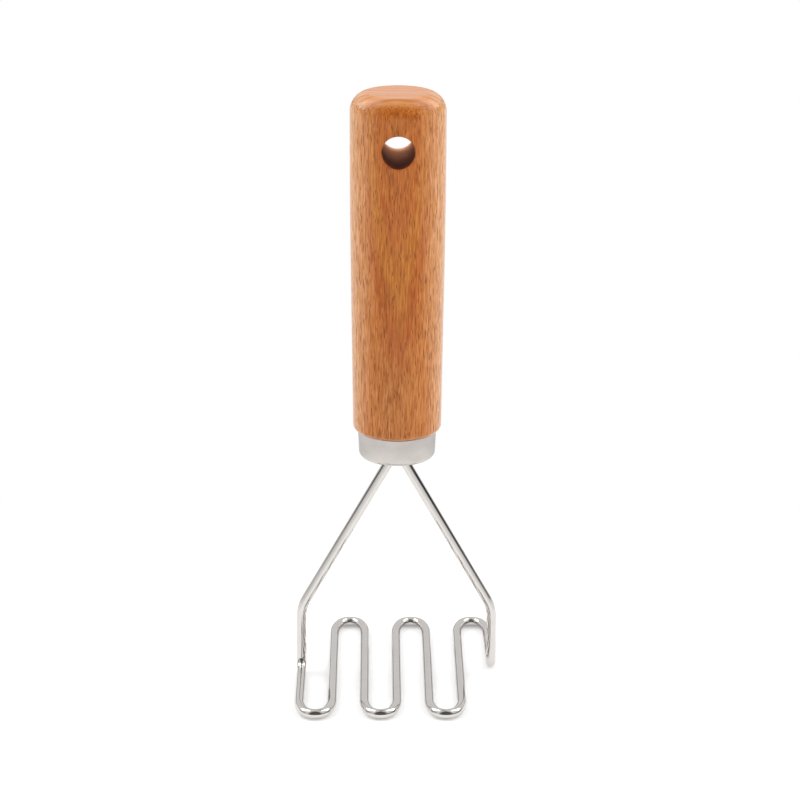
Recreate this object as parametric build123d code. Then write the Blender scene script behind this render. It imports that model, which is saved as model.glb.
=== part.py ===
from build123d import *
import os
from math import atan2, degrees, radians, tan

# A wire potato masher, standing on its head, in millimetres: +Z up along the handle, origin on the floor.
# The hanging hole is drilled along Y, and the two arms lie in the XZ plane.

# Mashing wire: one round wire, bent into two arms and a level serpentine
wire_d = 3.2
front_loops = 3            # loops at the front, and as many at the back
run_pitch = 10.25          # between neighbouring runs, centre to centre
head_depth = 76.0          # front loops to back loops, over the wire
loop_length = 9.6          # from the end of a run to the tip of its loop
loop_pinch = 1.2           # how much tighter a loop's tip is bent than half a pitch
elbow_r = 4.0              # bend from an arm into its outer run
arm_knee_z = 22.4          # where the arms turn inwards, as a sharp corner
arm_knee_r = 13.0
neck_drop = 1.4            # the arms' last corner, below the ferrule
tail_gap = 0.8             # between the two tails, side by side
tail_length = 32.0         # of each tail, up from the foot of the ferrule

# Ferrule: a drawn cup over the handle's tenon, a little narrower at its foot
ferrule_foot_z = 74.5
ferrule_height = 9.0
ferrule_wall = 0.6
ferrule_draft = 0.4        # how much narrower the foot is than the rim, all round
ferrule_edge_r = 2.0       # outer rounding of the foot
slot_clearance = 0.1       # round the tails, in the slot of the foot

# Handle: turned straight, then tapered, with a tenon, a hanging hole and a blind bore
handle_length = 107.5      # from the ferrule's rim to the top
handle_top_d = 29.5        # of the straight upper part
handle_foot_d = 27.7
taper_drop = 36.0          # where the side turns into the taper, below the top, as a sharp corner
taper_blend = 13.5         # how far that corner's rounding reaches, up and down
handle_top_edge_r = 6.0
top_sanding = 0.15         # sanded off the rounded top, which leaves a crisp edge round the flat
handle_foot_edge_r = 1.8
foot_overhang = 1.5        # of the wood past the ferrule, all round
hole_d = 10.0
hole_drop = 15.75          # centre of the hanging hole, below the top
hole_edge_r = 0.4
bore_past_tails = 1.5      # straight bore above the tails' ends
drill_point_deg = 118.0
tenon_clearance = 0.1      # glue line between tenon and ferrule

# Resin in the bore
resin_wall = 0.9           # outside the tails
resin_clearance = 0.05     # between the resin and what it bonds

wire_r = wire_d / 2
run_count = 2 * front_loops + 1
arm_x = (run_count - 1) / 2 * run_pitch
tail_x = (wire_d + tail_gap) / 2
ferrule_r = handle_foot_d / 2 - foot_overhang
ferrule_rim_z = ferrule_foot_z + ferrule_height
tenon_end_z = ferrule_foot_z + ferrule_wall
handle_top_z = ferrule_rim_z + handle_length
taper_z = handle_top_z - taper_drop
hole_z = handle_top_z - hole_drop
bore_r = tail_x + wire_r + resin_wall
tail_end_z = ferrule_foot_z + tail_length
bore_end_z = tail_end_z + bore_past_tails


def cup_r(z, inset):
    """Radius of the ferrule's drafted side at a height, less an inset."""
    return ferrule_r - ferrule_draft * (ferrule_rim_z - z) / ferrule_height - inset


def loop(start, heading, turn):
    """One end loop in plan: shoulder, tip, shoulder; turn is 1 to the left and -1 to the right."""
    half_width = run_pitch / 2
    tip_r = half_width - loop_pinch
    tip_centre = loop_length - tip_r
    shoulder_r = (half_width**2 + tip_centre**2 - tip_r**2) / (2 * loop_pinch)
    shoulder_turn = degrees(atan2(tip_centre, shoulder_r - half_width))
    first = JernArc(start, heading, shoulder_r, turn * shoulder_turn)
    tip = JernArc(first @ 1, first % 1, tip_r, turn * (180 - 2 * shoulder_turn))
    last = JernArc(tip @ 1, tip % 1, shoulder_r, turn * shoulder_turn)
    return [first, tip, last]


def arm(side, run_end_y):
    """From a tail's end down its arm and round the elbow to the end of the outer run; side is -1 or 1."""
    neck_z = ferrule_foot_z - neck_drop
    neck_turn = atan2(arm_x - tail_x, neck_z - arm_knee_z)
    neck_r = neck_drop / tan(neck_turn / 2)
    return FilletPolyline(
        (side * tail_x, 0, tail_end_z),
        (side * tail_x, 0, neck_z),
        (side * arm_x, 0, arm_knee_z),
        (side * arm_x, 0, wire_r),
        (side * arm_x, run_end_y, wire_r),
        radius=(neck_r, arm_knee_r, elbow_r),
    )


def make_mashing_wire():
    """The wire's centre line from one tail to the other, swept with its round section."""
    run_end = head_depth / 2 - wire_r - loop_length
    path = list(arm(-1, -run_end).edges())
    for run in range(run_count - 1):
        front = run % 2 == 0
        end_y = -run_end if front else run_end
        heading = (0, -1, 0) if front else (0, 1, 0)
        x = run * run_pitch - arm_x
        if run > 0:
            path.append(Line((x, -end_y, wire_r), (x, end_y, wire_r)))
        path += loop((x, end_y, wire_r), heading, 1 if front else -1)
    path += arm(1, run_end).edges()
    section = Plane((-tail_x, 0, tail_end_z), z_dir=(0, 0, -1)) * Circle(wire_r)
    return sweep(section, path=Wire(path))


def make_ferrule():
    """A cup with a rounded foot, slotted for the two tails."""
    cup_outline = FilletPolyline(
        (0, ferrule_foot_z),
        (cup_r(ferrule_foot_z, 0), ferrule_foot_z),
        (cup_r(ferrule_rim_z, 0), ferrule_rim_z),
        (cup_r(ferrule_rim_z, ferrule_wall), ferrule_rim_z),
        (cup_r(tenon_end_z, ferrule_wall), tenon_end_z),
        (0, tenon_end_z),
        radius=(0, ferrule_edge_r, 0, 0, ferrule_edge_r - ferrule_wall, 0),
        close=True,
    )
    cup = revolve(Plane.XZ * make_face(cup_outline), Axis.Z)
    slot_width = wire_d + 2 * slot_clearance
    slot = Plane.XY.offset(ferrule_foot_z) * SlotOverall(slot_width + 2 * tail_x, slot_width)
    return cup - extrude(slot, ferrule_wall)


def make_handle():
    """The turned outline with its tenon and bore, sanded flat on top, then the hanging hole."""
    drill_point = bore_r / tan(radians(drill_point_deg / 2))
    tenon_inset = ferrule_wall + tenon_clearance
    rough_top_z = handle_top_z + top_sanding
    taper_turn = atan2((handle_top_d - handle_foot_d) / 2, taper_z - ferrule_rim_z)
    taper_r = taper_blend / tan(taper_turn / 2)
    turned_outline = FilletPolyline(
        (0, rough_top_z),
        (handle_top_d / 2, rough_top_z),
        (handle_top_d / 2, taper_z),
        (handle_foot_d / 2, ferrule_rim_z),
        (cup_r(ferrule_rim_z, tenon_inset), ferrule_rim_z),
        (cup_r(tenon_end_z, tenon_inset), tenon_end_z),
        (bore_r, tenon_end_z),
        (bore_r, bore_end_z),
        (0, bore_end_z + drill_point),
        radius=(0, handle_top_edge_r, taper_r, handle_foot_edge_r, 0, ferrule_edge_r, 0, 0, 0),
        close=True,
    )
    turned = revolve(Plane.XZ * make_face(turned_outline), Axis.Z)
    sanded = split(turned, Plane.XY.offset(handle_top_z), keep=Keep.BOTTOM)
    hole = Pos(0, 0, hole_z) * Rot(90, 0, 0) * Cylinder(hole_d / 2, 2 * handle_top_d)
    drilled = sanded - hole
    rims = drilled.edges().filter_by(GeomType.LINE, reverse=True)
    hole_rims = rims.filter_by(lambda rim: abs(rim.center().Z - hole_z) < hole_d / 4)
    return fillet(hole_rims, hole_edge_r)


def make_bonding_resin():
    """The filled bore, from the tenon's end to the drill point, less the two tails."""
    plug_length = bore_end_z - tenon_end_z - resin_clearance
    foot = Plane.XY.offset(tenon_end_z)
    plug = extrude(foot * Circle(bore_r - resin_clearance), plug_length)
    tail_depth = tail_end_z - tenon_end_z + resin_clearance
    tail_hole = extrude(foot * Circle(wire_r + resin_clearance), tail_depth)
    return plug - Pos(-tail_x, 0, 0) * tail_hole - Pos(tail_x, 0, 0) * tail_hole


pieces = {
    "handle": make_handle(),
    "ferrule": make_ferrule(),
    "mashing_wire": make_mashing_wire(),
    "bonding_resin": make_bonding_resin(),
}

os.makedirs("parts", exist_ok=True)
for name, piece in pieces.items():
    export_step(piece, f"parts/{name}.step")
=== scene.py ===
from math import asin, atan2, copysign, cos, hypot, pi, radians, sin, tan

import bmesh
import bpy
from mathutils import Euler, Matrix, Vector


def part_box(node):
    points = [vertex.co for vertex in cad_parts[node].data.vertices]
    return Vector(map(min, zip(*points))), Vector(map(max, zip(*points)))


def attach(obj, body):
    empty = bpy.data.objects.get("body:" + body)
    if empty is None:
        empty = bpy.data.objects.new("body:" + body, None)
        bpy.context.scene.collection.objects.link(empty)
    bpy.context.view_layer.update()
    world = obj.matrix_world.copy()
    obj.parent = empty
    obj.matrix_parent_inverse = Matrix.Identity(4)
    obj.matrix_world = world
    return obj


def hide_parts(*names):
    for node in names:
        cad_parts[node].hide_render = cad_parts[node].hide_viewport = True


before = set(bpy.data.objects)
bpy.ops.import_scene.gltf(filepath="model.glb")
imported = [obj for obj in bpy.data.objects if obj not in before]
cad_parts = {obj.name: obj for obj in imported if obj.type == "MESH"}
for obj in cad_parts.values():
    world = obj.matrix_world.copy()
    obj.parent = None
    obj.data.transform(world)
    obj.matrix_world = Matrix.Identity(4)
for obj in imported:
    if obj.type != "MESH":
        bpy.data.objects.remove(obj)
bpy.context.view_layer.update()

# A wire potato masher, standing on its head: metres, +Z up along the handle, the hanging hole along Y.
# The frame gives the pieces' places and overall sizes, and the sizes below give the rest of their shapes.
MM = 0.001
handle_low, handle_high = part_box("handle")
ferrule_low, ferrule_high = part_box("ferrule")
wire_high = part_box("mashing_wire")[1]
resin_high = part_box("bonding_resin")[1]

# Handle: turned straight, then tapered, with a tenon, a hanging hole and a blind bore
handle_top_r = 14.75 * MM
handle_foot_r = 13.85 * MM
taper_drop = 36.0 * MM          # where the side turns into the taper, below the top
taper_blend = 13.5 * MM         # how far that turn is eased, up and down
handle_top_edge_r = 6.0 * MM
top_sanding = 0.15 * MM         # sanded off the rounded top, which leaves a crisp edge round the flat
handle_foot_edge_r = 1.8 * MM
handle_sides = 192
hole_r = 5.0 * MM
hole_drop = 15.75 * MM          # centre of the hanging hole, below the top
hole_edge_r = 0.4 * MM
tenon_clearance = 0.1 * MM
bore_clearance = 0.05 * MM
drill_point_angle = radians(118)
drill_tip_r = 0.05 * MM         # the outline's last ring, at the drill's point

# The hanging hole is opened in a square patch of the handle's faces, on the front and on the back
patch_rings = 16
patch_row = 0.48 * MM           # a face's height in the patch, about the same as its width
hole_ring = 7                   # the ring of edges that becomes the hole's mouth

# Ferrule: a drawn cup over the tenon, a little narrower at its foot
ferrule_wall = 0.6 * MM
ferrule_draft = 0.4 * MM
ferrule_edge_r = 2.0 * MM
ferrule_sides = 160
slot_clearance = 0.1 * MM
punch_sides = 48

# Mashing wire: bent from one length
wire_r = 1.6 * MM
run_pitch = 10.25 * MM
loop_count = 6
loop_length = 9.6 * MM          # from the end of a run to the tip of its loop
loop_pinch = 1.2 * MM           # how much tighter a loop's tip is bent than half a pitch
elbow_r = 4.0 * MM
knee_r = 13.0 * MM
knee_z = 22.4 * MM
neck_drop = 1.4 * MM            # the arms' last corner, below the ferrule
tail_x = 2.0 * MM
wire_sides = 40
bend_step = radians(5.0)
fewest_bend_steps = 4

# All meshes
smooth_angle = radians(35)      # edges flatter than this are shaded smooth
merge_gap = 0.001 * MM
slack = 0.01 * MM               # for telling faces, edges and corners apart by their places

# Sizes and heights that follow from these
handle_top_z = handle_high.z
rough_top_z = handle_top_z + top_sanding
taper_z = handle_top_z - taper_drop
hole_z = handle_top_z - hole_drop
mouth_r = hole_r + hole_edge_r
patch_r = patch_rings * patch_row
tenon_end_z = handle_low.z
bore_r = resin_high.x + bore_clearance
bore_end_z = resin_high.z + bore_clearance
drill_point = bore_r / tan(drill_point_angle / 2)
rim_z = ferrule_high.z
foot_z = ferrule_low.z
ferrule_r = ferrule_high.x
ferrule_lean = atan2(ferrule_draft, rim_z - foot_z)
arm_x = wire_high.x - wire_r
run_end_y = wire_high.y - wire_r - loop_length


# Modelling

def start_piece(add_primitive, name, **settings):
    """A new primitive by itself, named, with its place in its mesh, and in edit mode."""
    bpy.ops.object.select_all(action="DESELECT")
    add_primitive(**settings)
    piece = bpy.context.object
    piece.name = name
    piece.data.name = name
    bpy.ops.object.transform_apply(location=True, rotation=True, scale=True)
    bpy.ops.object.mode_set(mode="EDIT")
    return piece


def close_piece():
    """Makes the piece in edit mode one skin that faces outwards, shaded smooth, in object mode."""
    bpy.ops.mesh.select_all(action="SELECT")
    bpy.ops.mesh.remove_doubles(threshold=merge_gap)
    bpy.ops.mesh.normals_make_consistent(inside=False)
    bpy.ops.object.mode_set(mode="OBJECT")
    bpy.ops.object.shade_smooth_by_angle(angle=smooth_angle)


def select_parts(piece, kind, chosen):
    """In edit mode, selects the faces or the edges that the test chooses; kind is FACE or EDGE."""
    bpy.ops.mesh.select_mode(type=kind)
    bpy.ops.mesh.select_all(action="DESELECT")
    mesh = bmesh.from_edit_mesh(piece.data)
    for part in mesh.faces if kind == "FACE" else mesh.edges:
        part.select = chosen(part)
    bmesh.update_edit_mesh(piece.data)


def round_edge(centre_r, centre_z, edge_r, start, end, steps):
    """Points (radius, z) round an edge of a turned outline, after its first; angles are from outwards."""
    points = []
    for step in range(1, steps + 1):
        angle = start + (end - start) * step / steps
        points.append((centre_r + edge_r * cos(angle), centre_z + edge_r * sin(angle)))
    return points


def turn_on_lathe(name, sides, outline):
    """Extrudes a filled disc from ring to ring along an outline of (radius, z), and fills the last ring."""
    last_r, last_z = outline[0]
    piece = start_piece(
        bpy.ops.mesh.primitive_circle_add,
        name,
        vertices=sides,
        radius=last_r,
        fill_type="NGON",
        location=(0, 0, last_z),
    )
    bpy.ops.mesh.select_mode(type="EDGE")
    bpy.ops.mesh.select_all(action="DESELECT")
    bpy.ops.mesh.select_non_manifold()
    for ring_r, ring_z in outline[1:]:
        bpy.ops.mesh.extrude_edges_move(TRANSFORM_OT_translate={"value": (0, 0, ring_z - last_z)})
        grow = ring_r / last_r
        bpy.ops.transform.resize(value=(grow, grow, 1), center_override=(0, 0, ring_z))
        last_r, last_z = ring_r, ring_z
    bpy.ops.mesh.edge_face_add()
    return piece


def cup_r(z, inset):
    """Radius of the ferrule's drafted side at a height, less an inset; the tenon follows it."""
    return ferrule_r - (rim_z - z) * tan(ferrule_lean) - inset


# Handle

def handle_radius(z):
    """Radius of the handle's side at a height: straight at the top, then eased into the taper."""
    slope = (handle_top_r - handle_foot_r) / (taper_z - rim_z)
    below = taper_z + taper_blend - z
    if below <= 0:
        return handle_top_r
    if below < 2 * taper_blend:
        return handle_top_r - slope * below**2 / (4 * taper_blend)
    return handle_top_r - slope * (taper_z - z)


def handle_outline():
    """From the flat top down the side to the foot, in to the tenon and up the bore to the drill's point."""
    side_high = rough_top_z - handle_top_edge_r
    side_low = rim_z + handle_foot_edge_r
    patch_low = hole_z - patch_r
    rows_below = 8
    heights = [hole_z + patch_r - row * patch_row for row in range(2 * patch_rings + 1)]
    heights += [patch_low - (patch_low - side_low) * row / rows_below for row in range(1, rows_below + 1)]
    top_centre = handle_radius(side_high) - handle_top_edge_r
    foot_centre = handle_radius(side_low) - handle_foot_edge_r
    flat_angle = asin(1 - top_sanding / handle_top_edge_r)
    outline = [(top_centre + handle_top_edge_r * cos(flat_angle), handle_top_z)]
    outline += round_edge(top_centre, side_high, handle_top_edge_r, flat_angle, 0, steps=14)
    outline += [(handle_radius(z), z) for z in heights]
    outline += round_edge(foot_centre, side_low, handle_foot_edge_r, 0, -pi / 2, steps=8)
    tenon_inset = ferrule_wall + tenon_clearance
    tenon_edge_z = tenon_end_z + ferrule_edge_r
    tenon_centre = cup_r(tenon_edge_z, tenon_inset) - ferrule_edge_r
    outline += [(cup_r(rim_z, tenon_inset), rim_z)]
    outline += round_edge(tenon_centre, tenon_edge_z, ferrule_edge_r, 0, -pi / 2, steps=6)
    outline += [(bore_r, tenon_end_z), (bore_r, bore_end_z), (drill_tip_r, bore_end_z + drill_point)]
    return outline


def way_round(column, row):
    """Way from the middle, across and up, to where a place on a square ring lies once the ring is round."""
    if abs(column) > abs(row):
        angle = pi / 4 * row / column
        side = copysign(1, column)
        return side * cos(angle), side * sin(angle)
    angle = pi / 4 * column / row
    side = copysign(1, row)
    return side * sin(angle), side * cos(angle)


def round_patch(piece, side):
    """Draws a patch's rings into circles about the hole, still on the turned surface; side is -1 or 1."""
    mesh = bmesh.from_edit_mesh(piece.data)
    for vertex in mesh.verts:
        x, y, z = vertex.co
        column = atan2(x, y * side) / (2 * pi / handle_sides)
        row = (z - hole_z) / patch_row
        ring = round(max(abs(column), abs(row)))
        if not hole_ring <= ring < patch_rings:
            continue
        across, up = way_round(column, row)
        outwards = (ring - hole_ring) / (patch_rings - hole_ring)
        ring_r = mouth_r + (patch_r - mouth_r) * outwards
        square = outwards**2
        new_x = across * ring_r * (1 - square) + x * square
        new_z = hole_z + up * ring_r * (1 - square) + (z - hole_z) * square
        new_y = side * (handle_radius(new_z) ** 2 - new_x**2) ** 0.5
        vertex.co = (new_x, new_y, new_z)
    bmesh.update_edit_mesh(piece.data)


def open_mouth(piece, side):
    """Deletes the faces inside the mouth's ring and rounds its edge inwards; side is -1 or 1."""

    def inside(face):
        centre = face.calc_center_median()
        return centre.y * side > 0 and hypot(centre.x, centre.z - hole_z) < mouth_r - slack

    def on_mouth(edge):
        return edge.is_boundary and (edge.verts[0].co.y + edge.verts[1].co.y) * side > 0

    select_parts(piece, "FACE", inside)
    bpy.ops.mesh.delete(type="FACE")
    select_parts(piece, "EDGE", on_mouth)
    edge_steps = 4
    last_r, last_depth = mouth_r, 0.0
    for step in range(1, edge_steps + 1):
        angle = pi / 2 * step / edge_steps
        ring_r = mouth_r - hole_edge_r * sin(angle)
        depth = hole_edge_r * (1 - cos(angle))
        push = -side * (depth - last_depth)
        bpy.ops.mesh.extrude_edges_move(TRANSFORM_OT_translate={"value": (0, push, 0)})
        shrink = ring_r / last_r
        bpy.ops.transform.resize(value=(shrink, 1, shrink), center_override=(0, 0, hole_z))
        last_r, last_depth = ring_r, depth


def make_handle():
    """The turned handle with its hanging hole, rounded at both mouths."""
    handle = turn_on_lathe("turned_handle", handle_sides, handle_outline())
    for side in (-1, 1):
        round_patch(handle, side)
    for side in (-1, 1):
        open_mouth(handle, side)
    select_parts(handle, "EDGE", lambda edge: edge.is_boundary)
    bpy.ops.mesh.bridge_edge_loops(number_cuts=6)
    select_parts(handle, "EDGE", lambda edge: min(end.co.z for end in edge.verts) > handle_top_z - slack)
    bpy.ops.mesh.mark_sharp()
    close_piece()
    for material in (lacquered_beech(), drilled_beech()):
        handle.data.materials.append(material)
    for face in handle.data.polygons:
        drilled = hypot(face.center.x, face.center.z - hole_z) < hole_r + slack
        face.material_index = 1 if drilled else 0
    return handle


# Ferrule

def cut_slot(ferrule):
    """Cuts the slot for the two tails with a punch that is round at both ends."""
    punch = start_piece(
        bpy.ops.mesh.primitive_cylinder_add,
        "slot_punch",
        vertices=punch_sides,
        radius=wire_r + slot_clearance,
        depth=6 * ferrule_wall,
        location=(0, 0, foot_z + ferrule_wall / 2),
    )
    mesh = bmesh.from_edit_mesh(punch.data)
    for vertex in mesh.verts:
        if abs(vertex.co.x) > slack:
            vertex.co.x += copysign(tail_x, vertex.co.x)
    bmesh.update_edit_mesh(punch.data)
    close_piece()
    bpy.context.view_layer.objects.active = ferrule
    cut = ferrule.modifiers.new("slot", "BOOLEAN")
    cut.object = punch
    cut.operation = "DIFFERENCE"
    bpy.ops.object.modifier_apply(modifier="slot")
    bpy.data.objects.remove(punch)


def make_ferrule():
    """The cup from its inner floor, over the rim and down to its rounded foot, slotted for the tails."""
    inner_edge_r = ferrule_edge_r - ferrule_wall
    floor_z = foot_z + ferrule_wall
    edge_z = foot_z + ferrule_edge_r
    inner_centre = cup_r(edge_z, ferrule_wall + inner_edge_r)
    outer_centre = cup_r(edge_z, ferrule_edge_r)
    lip_r = ferrule_wall / 2
    lip_z = rim_z - lip_r
    outline = [(tail_x, floor_z), (inner_centre, floor_z)]
    outline += round_edge(inner_centre, edge_z, inner_edge_r, -pi / 2, -ferrule_lean, steps=6)
    outline += [(cup_r(lip_z, ferrule_wall), lip_z)]
    outline += round_edge(cup_r(lip_z, lip_r), lip_z, lip_r, pi, 0, steps=8)
    outline += round_edge(outer_centre, edge_z, ferrule_edge_r, -ferrule_lean, -pi / 2, steps=11)
    outline += [(tail_x, foot_z)]
    ferrule = turn_on_lathe("drawn_ferrule", ferrule_sides, outline)
    close_piece()
    cut_slot(ferrule)
    ferrule.data.materials.append(polished_ferrule_steel())
    return ferrule


# Mashing wire

def feed(tip, length):
    """Pushes the wire's end straight on."""
    step = tip["heading"] * length
    bpy.ops.mesh.extrude_edges_move(TRANSFORM_OT_translate={"value": step})
    tip["place"] = tip["place"] + step


def bend(tip, towards, radius, angle):
    """Bends the wire's end through an arc about a former on that side."""
    axis = tip["heading"].cross(towards)
    centre = tip["place"] + towards * radius
    steps = max(fewest_bend_steps, round(angle / bend_step))
    bpy.ops.mesh.spin(steps=steps, angle=-angle, center=centre, axis=axis)
    turn = Matrix.Rotation(angle, 3, axis)
    tip["place"] = centre + turn @ (tip["place"] - centre)
    tip["heading"] = turn @ tip["heading"]


def bend_loop(tip, turn):
    """One end loop: shoulder, tight tip, shoulder; turn is 1 to the left and -1 to the right."""
    half_width = run_pitch / 2
    tip_r = half_width - loop_pinch
    tip_centre = loop_length - tip_r
    shoulder_r = (half_width**2 + tip_centre**2 - tip_r**2) / (2 * loop_pinch)
    shoulder_turn = atan2(tip_centre, shoulder_r - half_width)
    for radius, angle in (
        (shoulder_r, shoulder_turn),
        (tip_r, pi - 2 * shoulder_turn),
        (shoulder_r, shoulder_turn),
    ):
        towards = Vector((0, 0, turn)).cross(tip["heading"])
        bend(tip, towards, radius, angle)


def make_mashing_wire():
    """Bends one wire from tail to tail: arm, elbow, runs and loops, elbow, arm."""
    tail_end = Vector((-tail_x, 0, wire_high.z))
    wire = start_piece(
        bpy.ops.mesh.primitive_circle_add,
        "bent_wire",
        vertices=wire_sides,
        radius=wire_r,
        location=tail_end,
    )
    bpy.ops.mesh.select_mode(type="EDGE")
    bpy.ops.mesh.select_all(action="SELECT")
    tip = {"place": tail_end, "heading": Vector((0, 0, -1))}

    neck_z = foot_z - neck_drop
    neck_turn = atan2(arm_x - tail_x, neck_z - knee_z)
    neck_r = neck_drop / tan(neck_turn / 2)
    knee_reach = knee_r * tan(neck_turn / 2)
    tail_length = wire_high.z - foot_z
    arm_length = hypot(arm_x - tail_x, neck_z - knee_z) - neck_drop - knee_reach
    post_length = knee_z - knee_reach - wire_r - elbow_r
    outer_run = run_end_y - elbow_r
    left = Vector((-1, 0, 0))
    front = Vector((0, -1, 0))
    up = Vector((0, 0, 1))
    under_left_arm = Vector((cos(neck_turn), 0, -sin(neck_turn)))
    over_right_arm = Vector((cos(neck_turn), 0, sin(neck_turn)))

    feed(tip, tail_length)
    bend(tip, left, neck_r, neck_turn)
    feed(tip, arm_length)
    bend(tip, under_left_arm, knee_r, neck_turn)
    feed(tip, post_length)
    bend(tip, front, elbow_r, pi / 2)
    feed(tip, outer_run)
    for loop in range(loop_count):
        bend_loop(tip, 1 if loop % 2 == 0 else -1)
        feed(tip, outer_run if loop == loop_count - 1 else 2 * run_end_y)
    bend(tip, up, elbow_r, pi / 2)
    feed(tip, post_length)
    bend(tip, left, knee_r, neck_turn)
    feed(tip, arm_length)
    bend(tip, over_right_arm, neck_r, neck_turn)
    feed(tip, tail_length)
    bpy.ops.mesh.select_all(action="DESELECT")
    bpy.ops.mesh.select_non_manifold()
    bpy.ops.mesh.edge_face_add()
    close_piece()
    wire.data.materials.append(polished_wire_steel())
    return wire


# Materials

def linear(hex_colour):
    """An sRGB hex colour as linear RGBA."""
    channels = [int(hex_colour[i:i + 2], 16) / 255 for i in (1, 3, 5)]
    return [c / 12.92 if c <= 0.04045 else ((c + 0.055) / 1.055) ** 2.4 for c in channels] + [1.0]


def per_grain(*sizes_mm):
    """Mapping scale for a pattern whose grains have these sizes along X, Y and Z, in mm."""
    return [1 / (size * MM) for size in sizes_mm]


def add_node(tree, kind, inputs=None, **settings):
    """Adds a node with its settings; an input takes a value, a socket, or a node for its first output."""
    node = tree.nodes.new(kind)
    for name, value in settings.items():
        setattr(node, name, value)
    for name, value in (inputs or {}).items():
        if isinstance(value, bpy.types.Node):
            value = next(socket for socket in value.outputs if socket.enabled)
        if isinstance(value, bpy.types.NodeSocket):
            tree.links.new(value, node.inputs[name])
        else:
            node.inputs[name].default_value = value
    return node


def new_material(name):
    """An empty node material, its tree and its Object coordinates."""
    material = bpy.data.materials.new(name)
    material.use_nodes = True
    tree = material.node_tree
    tree.nodes.clear()
    place = add_node(tree, "ShaderNodeTexCoord").outputs["Object"]
    return material, tree, place


def growth_rings(tree, place):
    """Rings about a pith behind the handle, which leans so that the front cuts them into a V; gives their
    colour, and how far each place is from the pith, in mm."""
    ring_mm = 4.4
    waver_mm = 1.3
    pith_behind_mm = 35.2
    pith_lean = radians(2.4)
    trunk = add_node(
        tree,
        "ShaderNodeMapping",
        {
            "Vector": place,
            "Scale": per_grain(1, 1, 1),
            "Rotation": (pith_lean, 0, 0),
            "Location": (0, -pith_behind_mm, 0),
        },
    )
    across = add_node(tree, "ShaderNodeVectorMath", {0: trunk, 1: (1, 1, 0)}, operation="MULTIPLY")
    radius = add_node(tree, "ShaderNodeVectorMath", {0: across}, operation="LENGTH").outputs["Value"]
    waver_grain = add_node(tree, "ShaderNodeMapping", {"Vector": place, "Scale": per_grain(6, 6, 40)})
    waver = add_node(tree, "ShaderNodeTexNoise", {"Vector": waver_grain, "Scale": 1.0, "Detail": 3.0})
    ring_place = add_node(
        tree, "ShaderNodeMath", {0: waver, 1: waver_mm, 2: radius}, operation="MULTIPLY_ADD"
    )
    ring_number = add_node(tree, "ShaderNodeMath", {0: ring_place, 1: ring_mm}, operation="DIVIDE")
    ring_half = add_node(tree, "ShaderNodeMath", {0: ring_number, 1: 0.5}, operation="PINGPONG")
    late_share = add_node(
        tree,
        "ShaderNodeMapRange",
        {"Value": ring_half, "From Min": 0.3, "From Max": 0.49, "To Max": 0.6},
        interpolation_type="SMOOTHSTEP",
    )
    hue = add_node(
        tree, "ShaderNodeTexNoise", {"W": ring_place, "Scale": 0.6, "Detail": 3.0}, noise_dimensions="1D"
    )
    early_wood = add_node(
        tree,
        "ShaderNodeMix",
        {"Factor": hue, 6: linear("#D28A34"), 7: linear("#CE7238")},
        data_type="RGBA",
    )
    ringed = add_node(
        tree,
        "ShaderNodeMix",
        {"Factor": late_share, 6: early_wood, 7: linear("#C06212")},
        data_type="RGBA",
    )
    return ringed, ring_place


def end_grain(tree):
    """How much the surface cuts across the grain: all of it on the sanded top, none on the turned side."""
    facing = add_node(tree, "ShaderNodeTexCoord").outputs["Normal"]
    axes = add_node(tree, "ShaderNodeSeparateXYZ", {0: facing})
    upwards = add_node(tree, "ShaderNodeMath", {0: axes.outputs["Z"]}, operation="ABSOLUTE")
    return add_node(
        tree,
        "ShaderNodeMapRange",
        {"Value": upwards, "From Min": 0.42, "From Max": 0.95},
        interpolation_type="SMOOTHSTEP",
    )


def painted_pale_sheen(tree, place, ends, colour):
    """Painted sheen drawn as paler wood: the two sides, for the glancing reflection of the side lights in
    the lacquer;
    the sanded top, for the light that it faces; and a little towards the foot, for the floor's reflection."""
    sheen_side_begins = 5 * MM
    # Where the painted reflection of the floor, paler towards the foot, begins and is complete
    floor_sheen_begins = rim_z + 55 * MM
    floor_sheen_full = rim_z + 10 * MM
    axes = add_node(tree, "ShaderNodeSeparateXYZ", {0: place})
    aside = add_node(tree, "ShaderNodeMath", {0: axes.outputs["X"]}, operation="ABSOLUTE")
    # Painted sheen on the sides, growing from the front towards each side
    side_sheen_share = add_node(
        tree,
        "ShaderNodeMapRange",
        {"Value": aside, "From Min": sheen_side_begins, "From Max": handle_top_r, "To Max": 0.8},
        interpolation_type="SMOOTHSTEP",
    )
    # Painted light on the top, paler where the surface faces up
    top_sheen_share = add_node(tree, "ShaderNodeMath", {0: ends, 1: 0.3}, operation="MULTIPLY")
    # Painted reflection of the floor: paler towards the foot
    floor_sheen_share = add_node(
        tree,
        "ShaderNodeMapRange",
        {"Value": axes.outputs["Z"], "From Min": floor_sheen_begins, "From Max": floor_sheen_full, "To Max": 0.16},
        interpolation_type="SMOOTHSTEP",
    )
    # Sides, top and foot together: the share of painted sheen
    side_and_top_sheen = add_node(tree, "ShaderNodeMath", {0: side_sheen_share, 1: top_sheen_share}, operation="MAXIMUM")
    painted_sheen_share = add_node(tree, "ShaderNodeMath", {0: side_and_top_sheen, 1: floor_sheen_share}, operation="MAXIMUM")
    # Mixes in the painted sheen's pale colour
    return add_node(
        tree, "ShaderNodeMix", {"Factor": painted_sheen_share, 6: colour, 7: linear("#E3B48C")}, data_type="RGBA"
    )


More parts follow.
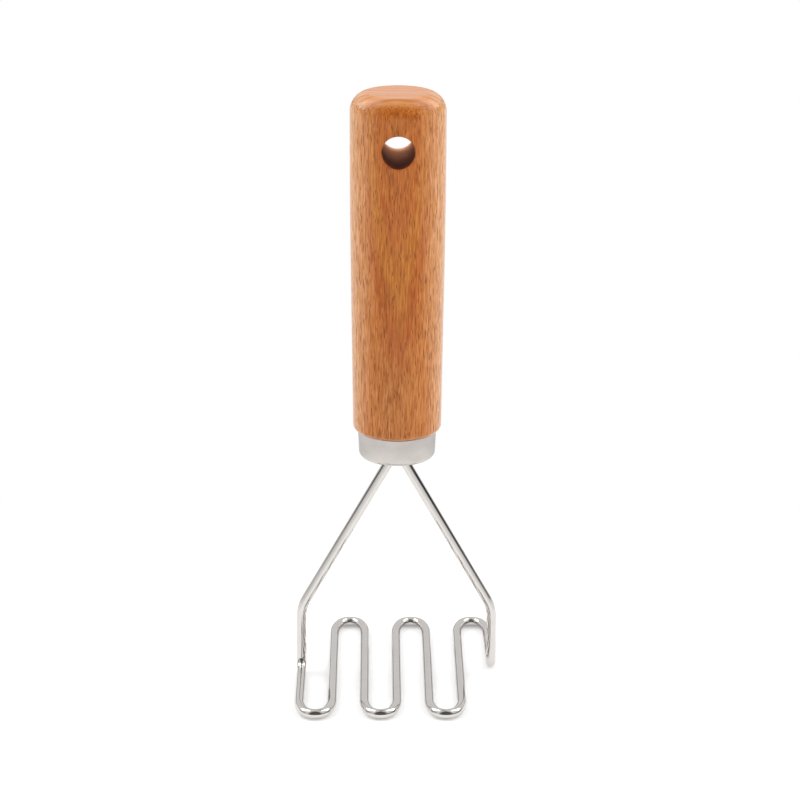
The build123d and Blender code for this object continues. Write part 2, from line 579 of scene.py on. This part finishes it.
def ray_flecks(tree, place, ends, colour):
    """Dark spindles along the grain, in three sizes of which the longest are rare, that fade out on the end
    grain; gives the colour, and the share that they cover."""
    covered = 0.0
    along = add_node(tree, "ShaderNodeMath", {0: 1.0, 1: ends}, operation="SUBTRACT")
    # A spindle's cell in mm along X, Y and Z, its reach in cells, and the share of cells without one
    sizes = (
        ((0.5, 0.5, 5.6), 0.36, 0.4),
        ((0.42, 0.42, 3.0), 0.34, 0.45),
        ((0.55, 0.55, 15.0), 0.3, 0.75),
    )
    for cell_mm, reach, empty in sizes:
        grain = add_node(tree, "ShaderNodeMapping", {"Vector": place, "Scale": per_grain(*cell_mm)})
        cells = add_node(tree, "ShaderNodeTexVoronoi", {"Vector": grain, "Scale": 1.0})
        spindle = add_node(
            tree,
            "ShaderNodeMapRange",
            {
                "Value": cells.outputs["Distance"],
                "From Min": reach * 0.7,
                "From Max": reach,
                "To Min": 1.0,
                "To Max": 0.0,
            },
        )
        chance = add_node(tree, "ShaderNodeSeparateColor", {0: cells.outputs["Color"]})
        strength = add_node(
            tree,
            "ShaderNodeMapRange",
            {"Value": chance.outputs["Red"], "From Min": empty, "From Max": empty + 0.4, "To Max": 0.86},
        )
        drawn = add_node(tree, "ShaderNodeMath", {0: spindle, 1: strength}, operation="MULTIPLY")
        fleck_share = add_node(tree, "ShaderNodeMath", {0: drawn, 1: along}, operation="MULTIPLY")
        colour = add_node(
            tree,
            "ShaderNodeMix",
            {"Factor": fleck_share, 6: colour, 7: linear("#743602")},
            data_type="RGBA",
        )
        covered = add_node(tree, "ShaderNodeMath", {0: fleck_share, 1: covered}, operation="ADD")
    return colour, covered


def lacquered_beech():
    """Steamed beech under semi-gloss lacquer: orange tan with redder growth rings that open into a V on the
    front, short dark ray flecks and pale fibres along the grain, and a painted sheen that makes the sides,
    top and foot paler."""
    material, tree, place = new_material("lacquered_beech")
    ends = end_grain(tree)
    ringed, ring_place = growth_rings(tree, place)
    # Paler sides, top and foot: painted sheen
    ringed_with_painted_sheen = painted_pale_sheen(tree, place, ends, ringed)
    # Fibres, and the ring lines that the ends show, are drawn wider than real ones so that they show
    fibre_grain = add_node(tree, "ShaderNodeMapping", {"Vector": place, "Scale": per_grain(0.42, 0.42, 5)})
    side_fibre = add_node(tree, "ShaderNodeTexNoise", {"Vector": fibre_grain, "Scale": 1.0, "Detail": 3.0})
    ring_lines = add_node(
        tree, "ShaderNodeTexNoise", {"W": ring_place, "Scale": 0.5, "Detail": 3.0}, noise_dimensions="1D"
    )
    end_lines = add_node(
        tree,
        "ShaderNodeMapRange",
        {"Value": ring_lines, "From Min": 0.3, "From Max": 0.7, "To Min": 0.14, "To Max": 0.54},
    )
    fibre = add_node(tree, "ShaderNodeMix", {0: ends, 2: side_fibre, 3: end_lines})
    dark_share = add_node(tree, "ShaderNodeMapRange", {"Value": fibre, "From Min": 0.28, "From Max": 0.72})
    fibred = add_node(
        tree,
        "ShaderNodeMix",
        {"Factor": dark_share, 6: ringed_with_painted_sheen, 7: linear("#C9A84A")},
        data_type="RGBA",
        blend_type="MULTIPLY",
    )
    flecked, covered = ray_flecks(tree, place, ends, fibred)
    fleck_sink = -0.6
    relief = add_node(
        tree, "ShaderNodeMath", {0: covered, 1: fleck_sink, 2: fibre}, operation="MULTIPLY_ADD"
    )
    bump = add_node(tree, "ShaderNodeBump", {"Height": relief, "Strength": 0.3, "Distance": 0.03 * MM})
    gloss = add_node(
        tree,
        "ShaderNodeMapRange",
        {"Value": fibre, "From Min": 0.3, "From Max": 0.7, "To Min": 0.29, "To Max": 0.22},
    )
    shader = add_node(
        tree,
        "ShaderNodeBsdfPrincipled",
        {
            "Base Color": flecked,
            "Roughness": gloss,
            "Normal": bump,
            "IOR": 1.33,
            "Coat Weight": 0.2,
            "Coat Roughness": 0.12,
        },
    )
    add_node(tree, "ShaderNodeOutputMaterial", {"Surface": shader})
    return material


def drilled_beech():
    """The wall of the hanging hole, bare and matt red-brown, with rings from the drill's lips; painted
    shade makes it darker towards the front, away from the light that comes in at the back."""
    material, tree, place = new_material("drilled_beech")
    # Where the painted shade in the hole begins and is complete, along Y
    hole_shade_begins = 5 * MM
    hole_shade_full = -12 * MM
    lip_grain = add_node(tree, "ShaderNodeMapping", {"Vector": place, "Scale": per_grain(6, 0.5, 6)})
    lip_marks = add_node(tree, "ShaderNodeTexNoise", {"Vector": lip_grain, "Scale": 1.0, "Detail": 3.0})
    bare = add_node(
        tree,
        "ShaderNodeMix",
        {"Factor": lip_marks, 6: linear("#E6AE86"), 7: linear("#C8946C")},
        data_type="RGBA",
    )
    axes = add_node(tree, "ShaderNodeSeparateXYZ", {0: place})
    # Painted shade: the wall is drawn darker towards the front, away from the light that comes in at the
    # back
    painted_hole_shade = add_node(
        tree,
        "ShaderNodeMapRange",
        {"Value": axes.outputs["Y"], "From Min": hole_shade_begins, "From Max": hole_shade_full, "To Max": 0.95},
        interpolation_type="SMOOTHSTEP",
    )
    # The painted shade's dark brown
    tone = add_node(
        tree, "ShaderNodeMix", {"Factor": painted_hole_shade, 6: bare, 7: linear("#78341A")}, data_type="RGBA"
    )
    bump = add_node(tree, "ShaderNodeBump", {"Height": lip_marks, "Strength": 0.5, "Distance": 0.05 * MM})
    shader = add_node(
        tree,
        "ShaderNodeBsdfPrincipled",
        {"Base Color": tone, "Roughness": 0.7, "Specular IOR Level": 0.12, "Normal": bump},
    )
    add_node(tree, "ShaderNodeOutputMaterial", {"Surface": shader})
    return material


def polished_ferrule_steel():
    """Drawn stainless steel, buffed on the lathe: pale grey, with faint rings round it and soft smears."""
    material, tree, place = new_material("polished_ferrule_steel")
    ring_grain = add_node(tree, "ShaderNodeMapping", {"Vector": place, "Scale": per_grain(40, 40, 0.3)})
    buffing = add_node(tree, "ShaderNodeTexNoise", {"Vector": ring_grain, "Scale": 1.0, "Detail": 4.0})
    smear_grain = add_node(tree, "ShaderNodeMapping", {"Vector": place, "Scale": per_grain(6, 6, 4)})
    smear = add_node(tree, "ShaderNodeTexNoise", {"Vector": smear_grain, "Scale": 1.0, "Detail": 2.0})
    tone = add_node(
        tree,
        "ShaderNodeMix",
        {"Factor": smear, 6: linear("#D3CDC9"), 7: linear("#BCB6B1")},
        data_type="RGBA",
    )
    dull = add_node(
        tree,
        "ShaderNodeMapRange",
        {"Value": smear, "From Min": 0.3, "From Max": 0.7, "To Min": 0.16, "To Max": 0.24},
    )
    bump = add_node(tree, "ShaderNodeBump", {"Height": buffing, "Strength": 0.25, "Distance": 0.01 * MM})
    shader = add_node(
        tree,
        "ShaderNodeBsdfPrincipled",
        {
            "Base Color": tone,
            "Roughness": dull,
            "Metallic": 1.0,
            "Specular Tint": linear("#E0E0E0"),
            "Normal": bump,
        },
    )
    add_node(tree, "ShaderNodeOutputMaterial", {"Surface": shader})
    return material


def polished_wire_steel():
    """Drawn stainless wire, tumbled bright: a mirror with a slight cloudiness and fine handling marks."""
    material, tree, place = new_material("polished_wire_steel")
    cloud_grain = add_node(tree, "ShaderNodeMapping", {"Vector": place, "Scale": per_grain(3, 6, 6)})
    cloud = add_node(tree, "ShaderNodeTexNoise", {"Vector": cloud_grain, "Scale": 1.0, "Detail": 3.0})
    tone = add_node(
        tree,
        "ShaderNodeMix",
        {"Factor": cloud, 6: linear("#D8D4D1"), 7: linear("#CECAC6")},
        data_type="RGBA",
    )
    dull = add_node(
        tree,
        "ShaderNodeMapRange",
        {"Value": cloud, "From Min": 0.35, "From Max": 0.65, "To Min": 0.07, "To Max": 0.12},
    )
    mark_grain = add_node(tree, "ShaderNodeMapping", {"Vector": place, "Scale": per_grain(0.8, 1.4, 1.4)})
    marks = add_node(tree, "ShaderNodeTexNoise", {"Vector": mark_grain, "Scale": 1.0, "Detail": 3.0})
    bump = add_node(tree, "ShaderNodeBump", {"Height": marks, "Strength": 0.15, "Distance": 0.03 * MM})
    shader = add_node(
        tree,
        "ShaderNodeBsdfPrincipled",
        {"Base Color": tone, "Roughness": dull, "Metallic": 1.0, "Normal": bump},
    )
    add_node(tree, "ShaderNodeOutputMaterial", {"Surface": shader})
    return material


def cured_epoxy():
    """Poured epoxy, gone hard: glossy amber with cloudy swirls."""
    material, tree, place = new_material("cured_epoxy")
    swirl_grain = add_node(tree, "ShaderNodeMapping", {"Vector": place, "Scale": per_grain(3, 3, 3)})
    swirl = add_node(tree, "ShaderNodeTexNoise", {"Vector": swirl_grain, "Scale": 1.0, "Distortion": 1.0})
    tone = add_node(
        tree,
        "ShaderNodeMix",
        {"Factor": swirl, 6: linear("#DCCB9C"), 7: linear("#C4A868")},
        data_type="RGBA",
    )
    shader = add_node(
        tree, "ShaderNodeBsdfPrincipled", {"Base Color": tone, "Roughness": 0.22, "IOR": 1.55}
    )
    add_node(tree, "ShaderNodeOutputMaterial", {"Surface": shader})
    return material


def white_paper():
    """Studio paper: it takes the object's shadow, and away from the object the camera and the metal see it
    white."""
    material, tree, place = new_material("white_paper")
    shadow_reach = 70 * MM
    white_reach = 220 * MM
    near_lift = 0.28
    reach = add_node(tree, "ShaderNodeVectorMath", {0: place}, operation="LENGTH").outputs["Value"]
    away = add_node(
        tree,
        "ShaderNodeMapRange",
        {"Value": reach, "From Min": shadow_reach, "From Max": white_reach},
        interpolation_type="SMOOTHSTEP",
    )
    path = add_node(tree, "ShaderNodeLightPath")
    looked_at = add_node(
        tree,
        "ShaderNodeMath",
        {0: path.outputs["Is Camera Ray"], 1: path.outputs["Is Glossy Ray"]},
        operation="MAXIMUM",
    )
    seen = add_node(
        tree,
        "ShaderNodeMath",
        {0: looked_at, 1: path.outputs["Is Transmission Ray"]},
        operation="MAXIMUM",
    )
    white_share = add_node(tree, "ShaderNodeMath", {0: away, 1: seen}, operation="MULTIPLY")
    lift = add_node(tree, "ShaderNodeMath", {0: seen, 1: near_lift}, operation="MULTIPLY")
    paper = add_node(tree, "ShaderNodeBsdfDiffuse", {"Color": linear("#E2E2E2")})
    glow = add_node(tree, "ShaderNodeEmission", {"Strength": lift})
    near = add_node(tree, "ShaderNodeAddShader", {0: paper, 1: glow})
    white = add_node(tree, "ShaderNodeEmission", {"Strength": 1.0})
    both = add_node(tree, "ShaderNodeMixShader", {0: white_share, 1: near, 2: white})
    add_node(tree, "ShaderNodeOutputMaterial", {"Surface": both})
    return material


# Studio

def make_floor():
    """A wide sheet of paper under the object."""
    floor_size = 6.0
    piece = start_piece(bpy.ops.mesh.primitive_plane_add, "paper_floor", size=floor_size)
    bpy.ops.object.mode_set(mode="OBJECT")
    piece.data.materials.append(white_paper())


def make_world():
    """A white room, dark behind the camera, with a dark skirting at the back and a dark band on each side;
    the camera itself sees plain white."""
    world = bpy.data.worlds.new("studio_room")
    bpy.context.scene.world = world
    world.use_nodes = True
    tree = world.node_tree
    tree.nodes.clear()
    direction = add_node(tree, "ShaderNodeTexCoord").outputs["Generated"]
    flattened = add_node(tree, "ShaderNodeVectorMath", {0: direction, 1: (1, 1, 0)}, operation="MULTIPLY")
    heading = add_node(tree, "ShaderNodeVectorMath", {0: flattened}, operation="NORMALIZE")
    axes = dict(add_node(tree, "ShaderNodeSeparateXYZ", {0: direction}).outputs.items())
    axes["heading_y"] = add_node(tree, "ShaderNodeSeparateXYZ", {0: heading}).outputs["Y"]
    # Each dark part's change from the room's level, and where it begins and is complete along its axes
    behind_camera = (-0.86, (("heading_y", -0.6, -0.85), ("Z", -0.02, 0.08)))
    skirting = (-0.65, (("Y", 0.7, 0.85), ("Z", 0.16, 0.09)))
    right_band = (-0.96, (("X", 0.5, 0.75), ("Y", 0.75, 0.3), ("Z", 0.055, 0.14), ("Z", 0.36, 0.26)))
    left_band = (-0.88, (("X", -0.8, -0.92), ("Z", 0.11, 0.18), ("Z", 0.36, 0.26)))
    level = 0.824
    for change, edges in (behind_camera, skirting, right_band, left_band):
        darker = change
        for axis, begins, complete in edges:
            ease = add_node(
                tree,
                "ShaderNodeMapRange",
                {"Value": axes[axis], "From Min": begins, "From Max": complete},
                interpolation_type="SMOOTHSTEP",
            )
            darker = add_node(tree, "ShaderNodeMath", {0: ease, 1: darker}, operation="MULTIPLY")
        level = add_node(tree, "ShaderNodeMath", {0: level, 1: darker, 2: level}, operation="MULTIPLY_ADD")
    path = add_node(tree, "ShaderNodeLightPath")
    white = linear("#FFFFFF")
    room = add_node(tree, "ShaderNodeBackground", {"Color": white, "Strength": level})
    backdrop = add_node(tree, "ShaderNodeBackground", {"Color": white, "Strength": 1.0})
    seen = add_node(tree, "ShaderNodeMixShader", {0: path.outputs["Is Camera Ray"], 1: room, 2: backdrop})
    add_node(tree, "ShaderNodeOutputWorld", {"Surface": seen})


def add_softbox(name, place, width, height, watts, mirrored):
    """A soft light aimed at the middle of the object; mirrored tells whether metal and lacquer show it."""
    light = bpy.data.lights.new(name, "AREA")
    light.shape = "RECTANGLE"
    light.size = width
    light.size_y = height
    light.energy = watts
    lamp = bpy.data.objects.new(name, light)
    bpy.context.scene.collection.objects.link(lamp)
    lamp.location = place
    aim = Vector((0, 0, handle_top_z / 2)) - Vector(place)
    lamp.rotation_euler = aim.to_track_quat("-Z", "Y").to_euler()
    lamp.visible_glossy = mirrored


def make_camera():
    """Above the front, looking down along the handle, with a long lens."""
    # Fitted to the photo; the angles are in radians
    distance = 755.747 * MM
    height = 343.187 * MM
    aside = 0.896 * MM
    pitch = 0.3199
    yaw = 0.0101
    roll = 0.0039
    focal_pixels = 2531.4
    image_width = 800
    data = bpy.data.cameras.new("camera")
    camera = bpy.data.objects.new("camera", data)
    bpy.context.scene.collection.objects.link(camera)
    data.sensor_width = 36.0
    data.lens = focal_pixels / image_width * data.sensor_width
    camera.location = Matrix.Rotation(-yaw, 3, "Z") @ Vector((aside, -distance, height))
    angles = Euler((pi / 2 - pitch, 0, -yaw))
    angles.rotate_axis("Z", roll)
    camera.rotation_euler = angles
    bpy.context.scene.camera = camera


for piece, node, slot in (
    (make_handle(), "handle", "beech"),
    (make_ferrule(), "ferrule", "ferrule_steel"),
    (make_mashing_wire(), "mashing_wire", "wire_steel"),
):
    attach(piece, "root")
    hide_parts(node)
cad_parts["bonding_resin"].material_slots[0].material = cured_epoxy()

make_floor()
make_world()
add_softbox("left_softbox", (-0.6, 0.25, 0.75), width=0.5, height=0.8, watts=4.0, mirrored=True)
add_softbox("right_softbox", (0.6, 0.25, 0.75), width=0.5, height=0.8, watts=3.2, mirrored=True)
add_softbox("left_fill", (-1.2, -0.3, 0.4), width=0.9, height=0.9, watts=4.0, mirrored=False)
add_softbox("right_fill", (1.2, -0.3, 0.4), width=0.9, height=0.9, watts=7.2, mirrored=False)
add_softbox("front_fill", (0, -1.3, 0.45), width=0.9, height=0.9, watts=3.2, mirrored=False)
make_camera()
bpy.context.scene.view_settings.view_transform = "Standard"
